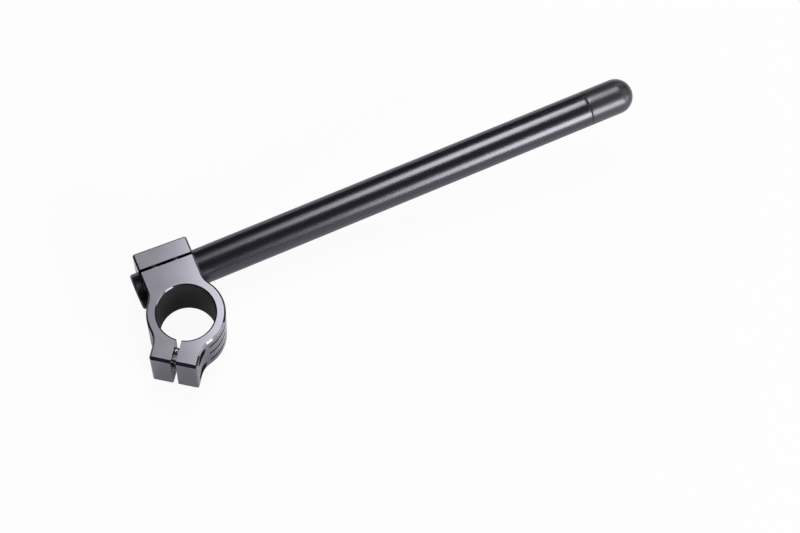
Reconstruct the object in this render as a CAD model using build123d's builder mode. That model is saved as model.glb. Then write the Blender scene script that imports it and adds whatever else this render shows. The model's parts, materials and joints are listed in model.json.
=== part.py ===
from build123d import *
import os
from math import cos, radians, sin, sqrt, tan

# A motorbike clip-on handlebar: a clamp machined from one billet closes on a fork leg and carries
# a straight bar tube, which a moulded plug closes at its outer end.
# Frame, in millimetres: the fork leg's axis is +Z through the origin, halfway up the clamp.
# +Z points to the clamp's flat outer face, +X the way the bar tube runs in plan, and +Y from the
# fork leg to the bar tube.

# Fork clamp ring
fork_diameter = 34.0
ring_wall = 5.9
clamp_height = 39.0
bore_chamfer = 0.9
edge_chamfer = 1.1
flat_corner_radius = 0.3

# Pinch lugs of the ring, on either side of its slot
slot_angle = -124.5
slot_width = 3.1
lug_width = 27.8
lug_overhang = 8.9
lug_flare_radius = 14.0
lug_end_chamfer = 1.7

# Grooves turned into the outside of the ring, which run out at both ends
groove_middle_angle = -29.0
groove_half_angle = 30.0
groove_spacing = 11.2
groove_width = 2.2
groove_depth = 1.1
run_out_margin = 1.15

# Bar tube
tube_diameter = 22.2
tube_wall = 2.5
tube_length = 299.0
tube_lean = 6.0
tube_stand_out = 4.0
tube_end_chamfer = 0.8
seam_chamfer = 0.3

# Bar block of the clamp, which holds the tube
block_width = 33.3
block_offset = 0.4
neck_radius = 11.0
bore_web = 3.15
boss_wall = 2.95
roof = 10.7
ramp_angle = 26.0
slit_offset = 2.35
slit_width = 1.9
tube_clearance = 0.05

# Moulded plug in the outer end of the tube
plug_length = 32.0
plug_spigot_length = 22.0
plug_clearance = 0.1

# Socket screws: M6 through the lugs, M5 through the bar block
fork_screw_diameter = 6.0
fork_screw_length = 20.0
fork_screw_head = 10.0
fork_screw_key = 5.0
fork_screw_offset = 5.5
fork_screw_edge = 7.5
fork_screw_recess = 1.0
bar_screw_diameter = 5.0
bar_screw_length = 16.0
bar_screw_head = 8.5
bar_screw_key = 4.0
bar_screw_spacing = 13.0
bar_screw_drop = 5.8
bar_screw_recess = 0.5
head_edge_chamfer = 0.5
socket_share = 0.55
head_clearance = 0.3
shank_clearance = 0.2
thread_clearance = 0.02
thread_run_out = 1.5

# Sizes that follow from those above
fork_radius = fork_diameter / 2
ring_radius = fork_radius + ring_wall
corner_radius = edge_chamfer + flat_corner_radius
groove_floor_radius = ring_radius - groove_depth
groove_run_out = run_out_margin * sqrt(ring_radius**2 - groove_floor_radius**2)
tube_radius = tube_diameter / 2
tube_bore_radius = tube_radius + tube_clearance
boss_radius = tube_bore_radius + boss_wall
tube_offset = fork_radius + bore_web + tube_bore_radius
tube_height = clamp_height / 2 - roof - tube_radius
block_reach = tube_offset + boss_radius
lug_reach = ring_radius + lug_overhang
past_part = 2 * (block_reach + lug_reach + clamp_height)
tolerance = 0.001

# The bar plane stands square to the tube's axis in the middle of the block: its own x is +Y
tube_direction = Vector(cos(radians(tube_lean)), 0, sin(radians(tube_lean)))
bar_plane = Plane(origin=(block_offset, tube_offset, tube_height), x_dir=(0, 1, 0), z_dir=tube_direction)
block_end = block_width / 2 / cos(radians(tube_lean))
tube_start = -(block_end + tube_stand_out)
tube_end = tube_start + tube_length

# Seats under the screw heads, each plane facing out of its counterbores
lug_plane = Plane.XY.rotated((0, 0, slot_angle))
fork_screw_seat = lug_width / 2 - fork_screw_diameter - fork_screw_recess
fork_seat_plane = Plane(
    origin=lug_plane.from_local_coords((fork_radius + fork_screw_offset, fork_screw_seat, 0)),
    x_dir=(0, 0, 1),
    z_dir=lug_plane.y_dir,
)
bar_screw_seat = block_reach - bar_screw_diameter - bar_screw_recess
bar_seat_plane = Plane(
    origin=(block_offset, bar_screw_seat, clamp_height / 2 - bar_screw_drop),
    x_dir=(1, 0, 0),
    z_dir=(0, 1, 0),
)
fork_screw_places = GridLocations(clamp_height - 2 * fork_screw_edge, 0, 2, 1)
bar_screw_places = GridLocations(bar_screw_spacing, 0, 2, 1)


def polar(radius, angle):
    """A point at this radius and angle round the fork leg's axis."""
    return Vector(radius, 0).rotate(Axis.Z, angle)


def screw_holes(seat, places, diameter, head, to_gap, thread_depth):
    """Cuts counterbores out of the part, clearance holes down to the gap and threaded holes past it."""
    with BuildSketch(seat) as counterbores:
        with places:
            Circle(head / 2 + head_clearance)
    extrude(counterbores.sketch, amount=past_part, mode=Mode.SUBTRACT)
    with BuildSketch(seat) as shank_holes:
        with places:
            Circle(diameter / 2 + shank_clearance)
    extrude(shank_holes.sketch, amount=-to_gap, mode=Mode.SUBTRACT)
    with BuildSketch(seat) as thread_holes:
        with places:
            Circle(diameter / 2 + thread_clearance)
    extrude(thread_holes.sketch, amount=-thread_depth, mode=Mode.SUBTRACT)


def socket_screws(seat, places, diameter, length, head, key):
    """Socket head cap screws that sit with the underside of their heads on the seat plane."""
    with BuildPart() as screws:
        with BuildSketch(seat):
            with places:
                Circle(head / 2)
        extrude(amount=diameter)
        rims = screws.edges().filter_by(GeomType.CIRCLE).group_by(Axis(seat.origin, seat.z_dir))[-1]
        chamfer(rims, head_edge_chamfer)
        with BuildSketch(seat):
            with places:
                Circle(diameter / 2)
        extrude(amount=-length)
        with BuildSketch(seat.offset(diameter * (1 - socket_share))):
            with places:
                RegularPolygon(key / 2, 6, major_radius=False)
        extrude(amount=diameter, mode=Mode.SUBTRACT)
    return screws


# Clamp body: one billet, cut to the plan outline, then across it to the outline of the bar boss
with BuildPart() as clamp_body:
    with BuildSketch(Plane.XY.offset(-clamp_height / 2)) as plan:
        with Locations(Location((0, 0), 90)):
            Circle(ring_radius)
        with Locations((block_offset, block_reach / 2)):
            Rectangle(block_width, block_reach)
        with Locations(Location((0, 0), slot_angle)):
            Rectangle(lug_reach, lug_width, align=(Align.MIN, Align.CENTER))
        on_ring = plan.vertices().filter_by(lambda v: abs(Vector(v.X, v.Y).length - ring_radius) < tolerance)
        fillet(on_ring.filter_by_position(Axis.Y, 0, block_reach), neck_radius)
        on_ring = plan.vertices().filter_by(lambda v: abs(Vector(v.X, v.Y).length - ring_radius) < tolerance)
        fillet(on_ring.filter_by_position(Axis.Y, -lug_reach, 0), lug_flare_radius)
        fillet(plan.vertices().group_by(Axis.Y)[-1], corner_radius)
        lug_end = lug_plane.x_dir
        fillet(plan.vertices().group_by(Axis((0, 0, 0), lug_end))[-1], corner_radius)
    extrude(amount=clamp_height)
    flats = clamp_body.faces().filter_by(Axis.Z)
    chamfer(flats.edges(), edge_chamfer)

    # A wider chamfer breaks the front edges of the lugs
    with BuildSketch(Plane(origin=(0, 0, 0), x_dir=lug_plane.x_dir, z_dir=lug_plane.y_dir)):
        with Locations((lug_reach, -clamp_height / 2), (lug_reach, clamp_height / 2)):
            RegularPolygon(lug_end_chamfer, 4)
    extrude(amount=lug_width, both=True, mode=Mode.SUBTRACT)

    # The bar boss is round below the tube, and a flat ramp joins it to the back of the ring
    with BuildSketch(bar_plane):
        with BuildLine():
            outer_side = Line((boss_radius, past_part), (boss_radius, 0))
            under_tube = CenterArc((0, 0), boss_radius, 0, ramp_angle - 90)
            ramp_foot = under_tube @ 1
            ramp_fall = (ramp_foot.X + past_part) * tan(radians(ramp_angle))
            ramp_end = (-past_part, ramp_foot.Y - ramp_fall)
            Polyline(ramp_foot, ramp_end, (-past_part, past_part), outer_side @ 0)
        make_face()
    extrude(amount=past_part, both=True, mode=Mode.INTERSECT)

    # Fork bore and the slot that lets the lugs close on it
    Hole(fork_radius)
    circles = clamp_body.faces().filter_by(Axis.Z).edges().filter_by(GeomType.CIRCLE)
    chamfer(circles.filter_by(lambda e: abs(e.radius - fork_radius) < tolerance), bore_chamfer)
    with Locations(lug_plane.location):
        outwards = (Align.MIN, Align.CENTER, Align.CENTER)
        Box(past_part, slot_width, past_part, align=outwards, mode=Mode.SUBTRACT)

    # Bar bore and its slit, which opens only to the flat outer face
    with BuildSketch(bar_plane):
        Circle(tube_bore_radius)
    extrude(amount=past_part, both=True, mode=Mode.SUBTRACT)
    with Locations((0, tube_offset + slit_offset, tube_height)):
        upwards = (Align.CENTER, Align.CENTER, Align.MIN)
        Box(past_part, slit_width, past_part, align=upwards, mode=Mode.SUBTRACT)

    # Grooves of even depth round the ring, whose cutter leaves along a tangent at both ends
    for groove_height in (-groove_spacing, 0, groove_spacing):
        with BuildSketch(Plane.XY.offset(groove_height - groove_width / 2)):
            with BuildLine():
                first_angle = groove_middle_angle - groove_half_angle
                floor = CenterArc((0, 0), groove_floor_radius, first_angle, 2 * groove_half_angle)
                first_end = Line(floor @ 0, floor @ 0 - (floor % 0) * groove_run_out) @ 1
                last_end = Line(floor @ 1, floor @ 1 + (floor % 1) * groove_run_out) @ 1
                ThreePointArc(last_end, polar(ring_radius + groove_depth, groove_middle_angle), first_end)
            make_face()
        extrude(amount=groove_width, mode=Mode.SUBTRACT)

    # Screw holes: the lugs' run right through, the bar block's end blind
    screw_holes(
        fork_seat_plane, fork_screw_places, fork_screw_diameter, fork_screw_head, fork_screw_seat, past_part
    )
    to_slit = bar_screw_seat - tube_offset - slit_offset
    screw_holes(
        bar_seat_plane,
        bar_screw_places,
        bar_screw_diameter,
        bar_screw_head,
        to_slit,
        bar_screw_length + thread_run_out,
    )

# Bar tube: drawn tube, its inner end a little past the block
with BuildPart() as handlebar_tube:
    with BuildSketch(bar_plane.offset(tube_start)):
        Circle(tube_radius)
        Circle(tube_radius - tube_wall, mode=Mode.SUBTRACT)
    extrude(amount=tube_length)
    circles = handlebar_tube.edges().filter_by(GeomType.CIRCLE)
    rims = circles.filter_by(lambda e: e.radius > tube_radius - tolerance)
    chamfer(rims.sort_by(Axis.X)[0], tube_end_chamfer)
    chamfer(rims.sort_by(Axis.X)[-1], seam_chamfer)

# Bar end plug: a domed head flush with the tube, on a spigot that fills the tube's bore
with BuildPart() as bar_end_plug:
    plug_plane = Plane(
        origin=bar_plane.origin + tube_direction * tube_end, x_dir=tube_direction, z_dir=(0, -1, 0)
    )
    with BuildSketch(plug_plane):
        with BuildLine():
            spigot_radius = tube_radius - tube_wall - plug_clearance
            dome_start = plug_length - tube_radius
            Polyline(
                (plug_length, 0),
                (-plug_spigot_length, 0),
                (-plug_spigot_length, spigot_radius),
                (0, spigot_radius),
                (0, tube_radius - seam_chamfer),
                (seam_chamfer, tube_radius),
                (dome_start, tube_radius),
            )
            CenterArc((dome_start, 0), tube_radius, 0, 90)
        make_face()
    revolve(axis=Axis(plug_plane.origin, tube_direction))

# Screws, two alike in each group
fork_pinch_screws = socket_screws(
    fork_seat_plane,
    fork_screw_places,
    fork_screw_diameter,
    fork_screw_length,
    fork_screw_head,
    fork_screw_key,
)
bar_pinch_screws = socket_screws(
    bar_seat_plane,
    bar_screw_places,
    bar_screw_diameter,
    bar_screw_length,
    bar_screw_head,
    bar_screw_key,
)

os.makedirs("parts", exist_ok=True)
clamp_body.part.label = "clamp_body"
export_step(clamp_body.part, "parts/clamp_body.step")
handlebar_tube.part.label = "handlebar_tube"
export_step(handlebar_tube.part, "parts/handlebar_tube.step")
bar_end_plug.part.label = "bar_end_plug"
export_step(bar_end_plug.part, "parts/bar_end_plug.step")
fork_pinch_screws.part.label = "fork_pinch_screws"
export_step(fork_pinch_screws.part, "parts/fork_pinch_screws.step")
bar_pinch_screws.part.label = "bar_pinch_screws"
export_step(bar_pinch_screws.part, "parts/bar_pinch_screws.step")
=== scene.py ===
import json
import math

import bmesh
import bpy
from mathutils import Euler, Matrix, Vector


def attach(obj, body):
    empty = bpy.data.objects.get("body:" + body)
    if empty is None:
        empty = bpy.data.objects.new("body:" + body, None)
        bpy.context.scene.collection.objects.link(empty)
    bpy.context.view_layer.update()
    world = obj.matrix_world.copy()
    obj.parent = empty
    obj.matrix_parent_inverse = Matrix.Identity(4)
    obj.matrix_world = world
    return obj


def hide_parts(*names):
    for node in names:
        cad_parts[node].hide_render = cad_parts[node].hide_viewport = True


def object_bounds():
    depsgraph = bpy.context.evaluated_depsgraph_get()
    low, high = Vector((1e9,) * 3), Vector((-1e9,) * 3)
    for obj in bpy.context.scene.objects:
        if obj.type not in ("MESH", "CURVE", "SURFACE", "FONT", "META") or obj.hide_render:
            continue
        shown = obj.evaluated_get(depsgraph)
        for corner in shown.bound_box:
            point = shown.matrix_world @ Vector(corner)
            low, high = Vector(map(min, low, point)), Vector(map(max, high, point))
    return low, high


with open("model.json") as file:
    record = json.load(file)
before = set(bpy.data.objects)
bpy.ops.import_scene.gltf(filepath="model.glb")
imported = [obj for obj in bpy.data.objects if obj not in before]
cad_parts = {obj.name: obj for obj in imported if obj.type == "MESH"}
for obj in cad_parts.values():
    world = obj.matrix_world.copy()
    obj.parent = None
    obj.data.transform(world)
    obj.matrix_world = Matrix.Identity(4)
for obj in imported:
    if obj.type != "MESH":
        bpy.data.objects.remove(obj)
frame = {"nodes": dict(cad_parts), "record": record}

cad_low, cad_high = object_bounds()

# Clamp billet
# The clamp is one aluminium billet, milled all over and dyed black in the anodising bath. Its flats are
# smooth enough to mirror the studio, and the fork bore keeps the fine rings of the boring tool.
mounts = {mount["name"]: mount for mount in frame["record"]["mounts"]}
fork_radius = mounts["fork_clamp"]["dims"]["r_mm"] / 1000
bore_allowance = 1.02
bore_edge = fork_radius * bore_allowance
billet_dark = (0.0085, 0.0081, 0.0120, 1.0)
billet_light = (0.0150, 0.0144, 0.0200, 1.0)
billet_gloss = (0.90, 0.88, 1.0, 1.0)
billet_index = 1.75
flat_roughness = (0.085, 0.12)
bore_roughness = 0.4
flat_specular = 0.5
# Painted shade: how far the specular level drops inside the fork bore, dimming its walls.
bore_painted_shade = 0.4
dye_cloud = 90.0
dye_detail = 4.0
mill_grain = (350.0, 2600.0, 2600.0)
mill_detail = 2.0
mill_share = 0.2
bore_ring_pitch = 0.0005
billet_relief_strength = 0.3
billet_relief_depth = 0.00001
noise_low = 0.3
noise_high = 0.7
# Bands of scale 1 repeat after this length.
wave_period = 2 * math.pi / 20


def new_material(name):
    """A material with its node tree, its Principled shader and its Object coordinates."""
    material = bpy.data.materials.new(name)
    material.use_nodes = True
    tree = material.node_tree
    shader = tree.nodes["Principled BSDF"]
    place = tree.nodes.new("ShaderNodeTexCoord").outputs["Object"]
    return material, tree, shader, place


def noise(tree, place, scale, detail):
    """The value of a noise with about this many blotches to the metre."""
    texture = tree.nodes.new("ShaderNodeTexNoise")
    texture.inputs["Scale"].default_value = scale
    texture.inputs["Detail"].default_value = detail
    tree.links.new(place, texture.inputs["Vector"])
    return texture.outputs["Fac"]


def grained(tree, place, grain, turn, detail):
    """The value of a noise with its own number of blotches to the metre along each of three turned axes."""
    mapping = tree.nodes.new("ShaderNodeMapping")
    mapping.vector_type = "TEXTURE"
    mapping.inputs["Rotation"].default_value = turn
    mapping.inputs["Scale"].default_value = [1 / share for share in grain]
    tree.links.new(place, mapping.inputs["Vector"])
    return noise(tree, mapping.outputs["Vector"], 1.0, detail)


def spread(tree, value, reach):
    """A noise value's middle range, spread between two numbers."""
    spreader = tree.nodes.new("ShaderNodeMapRange")
    spreader.inputs["From Min"].default_value = noise_low
    spreader.inputs["From Max"].default_value = noise_high
    spreader.inputs["To Min"].default_value = reach[0]
    spreader.inputs["To Max"].default_value = reach[1]
    tree.links.new(value, spreader.inputs["Value"])
    return spreader.outputs["Result"]


def tinted(tree, value, dark, light):
    """A colour between two, by a noise value."""
    ramp = tree.nodes.new("ShaderNodeValToRGB")
    ramp.color_ramp.elements[0].position = noise_low
    ramp.color_ramp.elements[0].color = dark
    ramp.color_ramp.elements[1].position = noise_high
    ramp.color_ramp.elements[1].color = light
    tree.links.new(value, ramp.inputs["Fac"])
    return ramp.outputs["Color"]


def math_node(tree, operation, first, second):
    """The result of one sum, each side a socket or a number."""
    node = tree.nodes.new("ShaderNodeMath")
    node.operation = operation
    for socket, side in zip(node.inputs, (first, second)):
        if isinstance(side, (int, float)):
            socket.default_value = side
        else:
            tree.links.new(side, socket)
    return node.outputs["Value"]


def add_bump(tree, shader, height, strength, depth):
    """Relief of this depth in metres under the shader."""
    relief = tree.nodes.new("ShaderNodeBump")
    relief.inputs["Strength"].default_value = strength
    relief.inputs["Distance"].default_value = depth
    tree.links.new(height, relief.inputs["Height"])
    tree.links.new(relief.outputs["Normal"], shader.inputs["Normal"])


anodised, tree, shader, place = new_material("black_anodised_billet")
shader.inputs["IOR"].default_value = billet_index
shader.inputs["Specular Tint"].default_value = billet_gloss
cloud = noise(tree, place, dye_cloud, dye_detail)
tree.links.new(tinted(tree, cloud, billet_dark, billet_light), shader.inputs["Base Color"])

# The bore is what lies within its radius of the fork's axis.
level_place = tree.nodes.new("ShaderNodeVectorMath")
level_place.operation = "MULTIPLY"
level_place.inputs[1].default_value = (1.0, 1.0, 0.0)
tree.links.new(place, level_place.inputs[0])
from_axis = tree.nodes.new("ShaderNodeVectorMath")
from_axis.operation = "LENGTH"
tree.links.new(level_place.outputs["Vector"], from_axis.inputs[0])
in_bore = math_node(tree, "LESS_THAN", from_axis.outputs["Value"], bore_edge)
bored = math_node(tree, "MULTIPLY", in_bore, bore_roughness)
# Inside the bore the specular level is also lowered. This is painted shade: it dims the bore walls as if
# the floor they mirror lay in shadow.
painted_bore_shade = math_node(tree, "MULTIPLY", in_bore, bore_painted_shade)
tree.links.new(math_node(tree, "SUBTRACT", flat_specular, painted_bore_shade), shader.inputs["Specular IOR Level"])
milled = spread(tree, cloud, flat_roughness)
tree.links.new(math_node(tree, "MAXIMUM", bored, milled), shader.inputs["Roughness"])

tool_rings = tree.nodes.new("ShaderNodeTexWave")
tool_rings.bands_direction = "Z"
tool_rings.inputs["Scale"].default_value = wave_period / bore_ring_pitch
tree.links.new(place, tool_rings.inputs["Vector"])
bore_relief = math_node(tree, "MULTIPLY", tool_rings.outputs["Fac"], in_bore)
mill_marks = grained(tree, place, mill_grain, (0, 0, 0), mill_detail)
mill_relief = math_node(tree, "MULTIPLY", mill_marks, mill_share)
billet_relief = math_node(tree, "ADD", bore_relief, mill_relief)
add_bump(tree, shader, billet_relief, billet_relief_strength, billet_relief_depth)
clamp = frame["nodes"]["clamp_body"]
clamp.data.materials.clear()
clamp.data.materials.append(anodised)

# Bar tube
# The bar is drawn aluminium tube, cut square, broken at its edges, blasted and anodised satin black. It
# runs through the clamp's block, which grips it, and stands out a little on the inner side.
grip = mounts["grip_surface"]
bar_radius = grip["dims"]["r_mm"] / 1000
bar_axis = Vector(grip["axis"]).normalized()
bar_middle = Vector(grip["pos_m"])
bar_side = Vector((0.0, 1.0, 0.0))
bar_turn = Matrix((bar_axis, bar_side, bar_axis.cross(bar_side))).transposed()
bar_place = Matrix.Translation(bar_middle) @ bar_turn.to_4x4()
tube_wall = 0.0025
tube_end_chamfer = 0.0008
seam_chamfer = 0.0003
edge_round = 0.00012
shading_margin = 0.002
turning_steps = 128
weld_distance = 1e-6
bevelled_angle = math.radians(30)
shaded_angle = math.radians(35)
satin_dark = (0.0026, 0.0025, 0.0044, 1.0)
satin_light = (0.0062, 0.0060, 0.0094, 1.0)
satin_gloss = (0.91, 0.90, 1.0, 1.0)
satin_index = 1.75
satin_roughness = (0.26, 0.28)
speckle = 1500.0
speckle_detail = 1.5
drawn_grain = (25.0, 1500.0, 1500.0)
drawn_detail = 2.0
drawn_share = 0.006
satin_relief_strength = 0.5
satin_relief_depth = 0.00003


def stations(node):
    """Where a node starts and ends along the bar's axis, measured from the middle of the grip."""
    along = [(vertex.co - bar_middle).dot(bar_axis) for vertex in frame["nodes"][node].data.vertices]
    return min(along), max(along)


def chain(points, closed=False):
    """A new shape with these points of the x-z plane joined in order, and its vertices."""
    bm = bmesh.new()
    corners = [bm.verts.new((x, 0, z)) for x, z in points]
    followers = corners[1:] + corners[:1] if closed else corners[1:]
    for first, second in zip(corners, followers):
        bm.edges.new((first, second))
    return bm, corners


def turned(outline):
    """Turns a chain of edges about the x axis, and closes its seam and poles."""
    bmesh.ops.spin(
        outline,
        geom=outline.verts[:] + outline.edges[:],
        cent=(0, 0, 0),
        axis=(1, 0, 0),
        angle=2 * math.pi,
        steps=turning_steps,
        use_merge=True,
    )
    bmesh.ops.remove_doubles(outline, verts=outline.verts, dist=weld_distance)
    bmesh.ops.recalc_face_normals(outline, faces=outline.faces)


def round_edges(bm, width):
    """Rounds every sharp edge by a small bevel."""
    sharp = [edge for edge in bm.edges if edge.is_manifold and edge.calc_face_angle() > bevelled_angle]
    bmesh.ops.bevel(
        bm,
        geom=sharp,
        offset=width,
        affect="EDGES",
        segments=2,
        profile=0.5,
        material=-1,
        clamp_overlap=True,
    )


def stand_for(bm, name, place, material, node):
    """Puts the shape in its place and shows it instead of the node."""
    bmesh.ops.transform(bm, matrix=place, verts=bm.verts)
    mesh = bpy.data.meshes.new(name)
    bm.to_mesh(mesh)
    bm.free()
    mesh.polygons.foreach_set("use_smooth", [True] * len(mesh.polygons))
    mesh.set_sharp_from_angle(angle=shaded_angle)
    mesh.materials.append(material)
    piece = bpy.data.objects.new(name, mesh)
    bpy.context.scene.collection.objects.link(piece)
    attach(piece, "root")
    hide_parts(node)


satin, tree, shader, place = new_material("black_satin_tube")
shader.inputs["IOR"].default_value = satin_index
shader.inputs["Specular Tint"].default_value = satin_gloss
grain = noise(tree, place, speckle, speckle_detail)
drawn = grained(tree, place, drawn_grain, bar_turn.to_euler(), drawn_detail)
tree.links.new(tinted(tree, grain, satin_dark, satin_light), shader.inputs["Base Color"])
tree.links.new(spread(tree, drawn, satin_roughness), shader.inputs["Roughness"])
satin_relief = math_node(tree, "ADD", grain, math_node(tree, "MULTIPLY", drawn, drawn_share))
add_bump(tree, shader, satin_relief, satin_relief_strength, satin_relief_depth)

tube_start, tube_end = stations("handlebar_tube")
tube_section = (
    (tube_start + tube_end_chamfer, bar_radius),
    (tube_start + shading_margin, bar_radius),
    (tube_end - shading_margin, bar_radius),
    (tube_end - seam_chamfer, bar_radius),
    (tube_end, bar_radius - seam_chamfer),
    (tube_end, bar_radius - tube_wall),
    (tube_start, bar_radius - tube_wall),
    (tube_start, bar_radius - tube_end_chamfer),
)
outline, corners = chain(tube_section, closed=True)
turned(outline)
round_edges(outline, edge_round)
stand_for(outline, "bar_tube", bar_place, satin, "handlebar_tube")

# Bar end plug
# The plug is moulded in black plastic with a fine spark-eroded skin. Its spigot is pushed into the bar, and
# its domed head lies flush with the tube behind a narrow seam.
plug_clearance = 0.0001
dome_steps = 32
plug_dark = (0.0125, 0.0125, 0.0130, 1.0)
plug_light = (0.0205, 0.0205, 0.0215, 1.0)
plug_index = 1.7
plug_roughness = (0.30, 0.35)
plug_cloud_detail = 3.0
spark_grain = 3200.0
spark_detail = 2.0
plug_relief_strength = 0.4
plug_relief_depth = 0.00004

moulded, tree, shader, place = new_material("black_plug_plastic")
shader.inputs["IOR"].default_value = plug_index
shader.inputs["Specular Tint"].default_value = satin_gloss
grain = noise(tree, place, spark_grain, spark_detail)
cloud = noise(tree, place, dye_cloud, plug_cloud_detail)
tree.links.new(tinted(tree, grain, plug_dark, plug_light), shader.inputs["Base Color"])
tree.links.new(spread(tree, cloud, plug_roughness), shader.inputs["Roughness"])
add_bump(tree, shader, grain, plug_relief_strength, plug_relief_depth)

plug_start, plug_tip = stations("bar_end_plug")
dome_middle = plug_tip - bar_radius
spigot_radius = bar_radius - tube_wall - plug_clearance
plug_section = (
    (plug_start, 0.0),
    (plug_start, spigot_radius),
    (tube_end, spigot_radius),
    (tube_end, bar_radius - seam_chamfer),
    (tube_end + seam_chamfer, bar_radius),
    (tube_end + shading_margin, bar_radius),
    (dome_middle, bar_radius),
)
outline, corners = chain(plug_section)
bmesh.ops.spin(
    outline,
    geom=[corners[-1]],
    cent=(dome_middle, 0, 0),
    axis=(0, 1, 0),
    angle=math.pi / 2,
    steps=dome_steps,
)
turned(outline)
round_edges(outline, edge_round)
stand_for(outline, "end_plug", bar_place, moulded, "bar_end_plug")

# Pinch screws
# The screws are cold-headed steel, zinc plated: knurled heads with a hexagon socket, and rolled metric
# threads. Two M6 screws close the lugs on the fork leg, and two M5 screws close the block on the bar.
zinc_dark = (0.52, 0.52, 0.50, 1.0)
zinc_light = (0.72, 0.72, 0.70, 1.0)
zinc_roughness = (0.18, 0.32)
zinc_cloud = 700.0
zinc_detail = 3.0
zinc_relief_strength = 0.15
zinc_relief_depth = 0.00002
head_segments = 72
ring_lift = 0.02
socket_corners = 6
head_edge_chamfer = 0.0005
knurl_depth = 0.00012
knurl_margin = 0.0005
socket_share = 0.55
drill_share = 0.94
drill_point = 0.0008
plain_neck = 0.0015
thread_steps = 24
thread_depth_share = 0.6
crest_share = 0.12
spare_turns = 2
lug_angle = math.radians(-124.5)
across_lugs = Vector((-math.sin(lug_angle), math.cos(lug_angle), 0.0))
upwards = Vector((0.0, 0.0, 1.0))
along_block = Vector((1.0, 0.0, 0.0))

zinc, tree, shader, place = new_material("bright_screw_steel")
shader.inputs["Metallic"].default_value = 1.0
bloom = noise(tree, place, zinc_cloud, zinc_detail)
tree.links.new(tinted(tree, bloom, zinc_dark, zinc_light), shader.inputs["Base Color"])
tree.links.new(spread(tree, bloom, zinc_roughness), shader.inputs["Roughness"])
zinc_relief = noise(tree, place, spark_grain, spark_detail)
add_bump(tree, shader, zinc_relief, zinc_relief_strength, zinc_relief_depth)


def ring(bm, segments, radius, height):
    """The edges of a level ring of vertices round the z axis."""
    verts = bmesh.ops.create_circle(bm, cap_ends=False, segments=segments, radius=radius)["verts"]
    bmesh.ops.translate(bm, verts=verts, vec=(0, 0, height))
    return list(dict.fromkeys(edge for vert in verts for edge in vert.link_edges))


def knurled(bm, edges):
    """Draws every other vertex of a ring in by the depth of the knurling."""
    verts = {vert for edge in edges for vert in edge.verts}
    in_order = sorted(verts, key=lambda vert: math.atan2(vert.co.y, vert.co.x))
    for vert in in_order[::2]:
        outwards = Vector((vert.co.x, vert.co.y, 0.0)).normalized()
        bmesh.ops.translate(bm, verts=[vert], vec=-outwards * knurl_depth)
    return edges


def joined(bm, lower, upper):
    """Faces between two rings, drawn apart meanwhile so that level ones pair the same way round."""
    verts = list({vert for edge in upper for vert in edge.verts})
    bmesh.ops.translate(bm, verts=verts, vec=(0, 0, ring_lift))
    bmesh.ops.bridge_loops(bm, edges=lower + upper)
    bmesh.ops.translate(bm, verts=verts, vec=(0, 0, -ring_lift))


def screw_head(bm, diameter, head, key):
    """A knurled cap on the plane z = 0 with a hexagon socket, closed below by its plain neck."""
    radius = head / 2
    top = diameter
    shoulder = top - head_edge_chamfer
    socket_depth = socket_share * diameter
    hexagon = ring(bm, socket_corners, key / 2 / math.cos(math.pi / socket_corners), top)
    bmesh.ops.subdivide_edges(bm, edges=hexagon, cuts=head_segments // socket_corners - 1)
    socket_rim = bm.edges[:]
    rings = [
        ring(bm, head_segments, diameter / 2, -plain_neck),
        ring(bm, head_segments, diameter / 2, 0),
        ring(bm, head_segments, radius, 0),
        ring(bm, head_segments, radius, knurl_margin),
        knurled(bm, ring(bm, head_segments, radius, 2 * knurl_margin)),
        knurled(bm, ring(bm, head_segments, radius, shoulder - 2 * knurl_margin)),
        ring(bm, head_segments, radius, shoulder - knurl_margin),
        ring(bm, head_segments, radius, shoulder),
        ring(bm, head_segments, radius - head_edge_chamfer, top),
        socket_rim,
    ]
    for lower, upper in zip(rings, rings[1:]):
        joined(bm, lower, upper)
    walls = bmesh.ops.extrude_edge_only(bm, edges=socket_rim)["geom"]
    sunk = [part for part in walls if isinstance(part, bmesh.types.BMVert)]
    bmesh.ops.translate(bm, verts=sunk, vec=(0, 0, -socket_depth))
    floor_edges = [part for part in walls if isinstance(part, bmesh.types.BMEdge) and part.is_boundary]
    drilled = ring(bm, head_segments, drill_share * key / 2, top - socket_depth)
    joined(bm, floor_edges, drilled)
    socket_floor = bmesh.ops.edgeloop_fill(bm, edges=drilled)["faces"]
    bmesh.ops.edgeloop_fill(bm, edges=rings[0])
    bmesh.ops.recalc_face_normals(bm, faces=bm.faces)
    bmesh.ops.poke(bm, faces=socket_floor, offset=-drill_point)


def screw_thread(bm, diameter, length, pitch):
    """A rolled thread down to the tip, as one turned strip a pitch wide, cut level at both ends."""
    crest = diameter / 2
    root = crest - thread_depth_share * pitch
    half_crest = crest_share * pitch / 2
    turns = math.ceil((length - plain_neck) / pitch) + spare_turns
    rib_section = (
        (root, -length - pitch),
        (crest, -length - pitch / 2 - half_crest),
        (crest, -length - pitch / 2 + half_crest),
        (root, -length),
    )
    strip, corners = chain(rib_section)
    bmesh.ops.spin(
        strip,
        geom=strip.verts[:] + strip.edges[:],
        cent=(0, 0, 0),
        axis=(0, 0, 1),
        dvec=(0, 0, pitch / thread_steps),
        angle=2 * math.pi * turns,
        steps=thread_steps * turns,
    )
    bmesh.ops.remove_doubles(strip, verts=strip.verts, dist=weld_distance)
    for height, facing in ((-length, -1), (-plain_neck, 1)):
        bmesh.ops.bisect_plane(
            strip,
            geom=strip.verts[:] + strip.edges[:] + strip.faces[:],
            plane_co=(0, 0, height),
            plane_no=(0, 0, facing),
            clear_outer=True,
        )
    bmesh.ops.holes_fill(strip, edges=[edge for edge in strip.edges if edge.is_boundary])
    thread = bpy.data.meshes.new("thread")
    strip.to_mesh(thread)
    strip.free()
    bm.from_mesh(thread)
    bpy.data.meshes.remove(thread)


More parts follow.
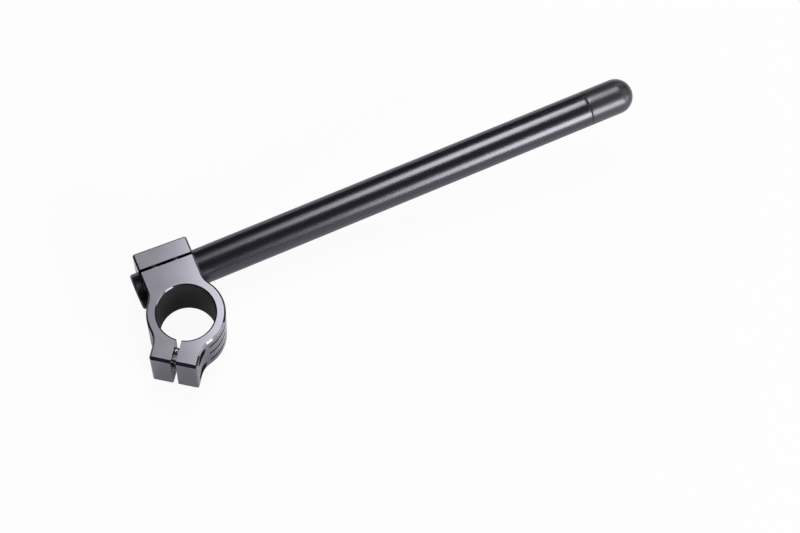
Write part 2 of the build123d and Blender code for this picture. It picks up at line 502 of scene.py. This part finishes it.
def screw_group(name, node, axis, apart, diameter, length, head, key, pitch):
    """The node's two screws, placed by the solids' own reach along and across the screws' axis."""
    shape = bmesh.new()
    screw_head(shape, diameter, head, key)
    screw_thread(shape, diameter, length, pitch)
    bmesh.ops.recalc_face_normals(shape, faces=shape.faces)
    screw = bpy.data.meshes.new("screw")
    shape.to_mesh(screw)
    shape.free()
    across = axis.cross(apart)
    points = [vertex.co for vertex in frame["nodes"][node].data.vertices]
    seat = max(point.dot(axis) for point in points) - diameter
    sideways = [point.dot(across) for point in points]
    spaced = [point.dot(apart) for point in points]
    middle = axis * seat + across * (min(sideways) + max(sideways)) / 2
    turn = Matrix((apart, across, axis)).transposed().to_4x4()
    group = bmesh.new()
    for reach in (min(spaced) + head / 2, max(spaced) - head / 2):
        group.from_mesh(screw)
        group.verts.ensure_lookup_table()
        fresh = group.verts[-len(screw.vertices):]
        bmesh.ops.transform(group, matrix=Matrix.Translation(middle + apart * reach) @ turn, verts=fresh)
    bpy.data.meshes.remove(screw)
    stand_for(group, name, Matrix.Identity(4), zinc, node)


screw_group(
    "fork_screws",
    "fork_pinch_screws",
    axis=across_lugs,
    apart=upwards,
    diameter=0.006,
    length=0.020,
    head=0.010,
    key=0.005,
    pitch=0.0010,
)
screw_group(
    "bar_screws",
    "bar_pinch_screws",
    axis=bar_side,
    apart=along_block,
    diameter=0.005,
    length=0.016,
    head=0.0085,
    key=0.004,
    pitch=0.0008,
)

# Studio
# A large white floor lies under the clamp. A softbox that is brighter on its right hangs above and behind,
# smaller ones stand low in front and to the right, two broad ones light the floor from the sides, and two
# dim panels stand behind.
floor_size = 40.0
floor_white = (0.78, 0.77, 0.86, 1.0)
floor_roughness = 0.9
seen_white = 0.94
mirrored_white = 0.15
stage_centre = Vector((0.14, 0.02, 0.0))
lamp_distance = 3.0
overhead_way = Vector((0.975, -0.22, 0.0))
level_right = Vector((0.66, 0.73, 0.0))
level_back_left = Vector((1.0, 1.0, 0.0))
level_back_right = Vector((1.0, -1.0, 0.0))
room_white = (1.0, 1.0, 1.0, 1.0)
room_strength = 0.025

bm = bmesh.new()
bmesh.ops.create_grid(bm, x_segments=1, y_segments=1, size=floor_size / 2)
bmesh.ops.translate(bm, verts=bm.verts, vec=(0, 0, cad_low.z))
floor_mesh = bpy.data.meshes.new("floor")
bm.to_mesh(floor_mesh)
bm.free()
floor = bpy.data.objects.new("floor", floor_mesh)
bpy.context.scene.collection.objects.link(floor)
pale, tree, shader, place = new_material("white_floor")
shader.inputs["Base Color"].default_value = floor_white
shader.inputs["Roughness"].default_value = floor_roughness
shader.inputs["Specular IOR Level"].default_value = 0.0
glow = tree.nodes.new("ShaderNodeEmission")
rays = tree.nodes.new("ShaderNodeLightPath").outputs
straight = math_node(tree, "MAXIMUM", rays["Is Camera Ray"], rays["Is Transmission Ray"])
straight = math_node(tree, "MULTIPLY", straight, seen_white)
mirrored = math_node(tree, "MULTIPLY", rays["Is Glossy Ray"], mirrored_white)
whitened = tree.nodes.new("ShaderNodeMixShader")
tree.links.new(math_node(tree, "MAXIMUM", straight, mirrored), whitened.inputs["Fac"])
tree.links.new(shader.outputs["BSDF"], whitened.inputs[1])
tree.links.new(glow.outputs["Emission"], whitened.inputs[2])
tree.links.new(whitened.outputs["Shader"], tree.nodes["Material Output"].inputs["Surface"])
floor_mesh.materials.append(pale)


def softbox(name, direction, wide_way, width, height, radiance):
    """An area lamp that faces the stage from this direction, given by the radiance of its face."""
    lamp = bpy.data.lights.new(name, "AREA")
    lamp.shape = "RECTANGLE"
    lamp.size = width
    lamp.size_y = height
    lamp.energy = math.pi * width * height * radiance
    lamp_object = bpy.data.objects.new(name, lamp)
    bpy.context.scene.collection.objects.link(lamp_object)
    towards = Vector(direction).normalized()
    lamp_object.location = stage_centre + towards * lamp_distance
    tall_way = towards.cross(wide_way).normalized()
    turn = Matrix((tall_way.cross(towards), tall_way, towards)).transposed()
    lamp_object.rotation_euler = turn.to_euler()


softbox("overhead_softbox", (0.10, 0.345, 0.930), overhead_way, width=0.96, height=1.5, radiance=3.3)
softbox("overhead_wide_step", (0.158, 0.345, 0.922), overhead_way, width=0.672, height=1.5, radiance=2.0)
softbox("overhead_middle_step", (0.163, 0.345, 0.920), overhead_way, width=0.642, height=1.5, radiance=3.6)
softbox("overhead_narrow_step", (0.185, 0.345, 0.916), overhead_way, width=0.54, height=1.5, radiance=5.0)
softbox("front_softbox", (0.325, -0.87, 0.38), along_block, width=1.1, height=1.45, radiance=12.5)
softbox("right_low_panel", (0.73, -0.66, 0.2), level_right, width=2.4, height=0.68, radiance=4.5)
softbox("left_high_softbox", (-0.66, -0.12, 0.74), bar_side, width=1.2, height=2.2, radiance=1.4)
softbox("right_high_softbox", (0.76, -0.30, 0.58), bar_side, width=3.2, height=2.6, radiance=0.8)
softbox("back_left_panel", (-0.64, 0.64, 0.42), level_back_left, width=1.8, height=1.0, radiance=1.2)
softbox("back_right_panel", (0.64, 0.64, 0.42), level_back_right, width=1.8, height=1.0, radiance=1.2)

world = bpy.data.worlds.new("studio_room")
bpy.context.scene.world = world
world.use_nodes = True
room_light = world.node_tree.nodes["Background"]
room_light.inputs["Color"].default_value = room_white
room_light.inputs["Strength"].default_value = room_strength

# Camera
# The photograph looks down on the clamp's flat face, with the bar running up to the right. Its place and
# lens were solved from the bar's edges, the fork bore's rims and the block's edges.
camera_place = (-0.07115, -0.27655, 0.7827)
camera_degrees = (22.33, -5.67, -24.178)
camera_lens = 62.76
camera_sensor = 36.0

camera_data = bpy.data.cameras.new("camera")
camera_data.sensor_width = camera_sensor
camera_data.lens = camera_lens
camera = bpy.data.objects.new("camera", camera_data)
camera.location = camera_place
camera.rotation_euler = Euler([math.radians(angle) for angle in camera_degrees])
bpy.context.scene.collection.objects.link(camera)
bpy.context.scene.camera = camera
bpy.context.scene.view_settings.view_transform = "Standard"
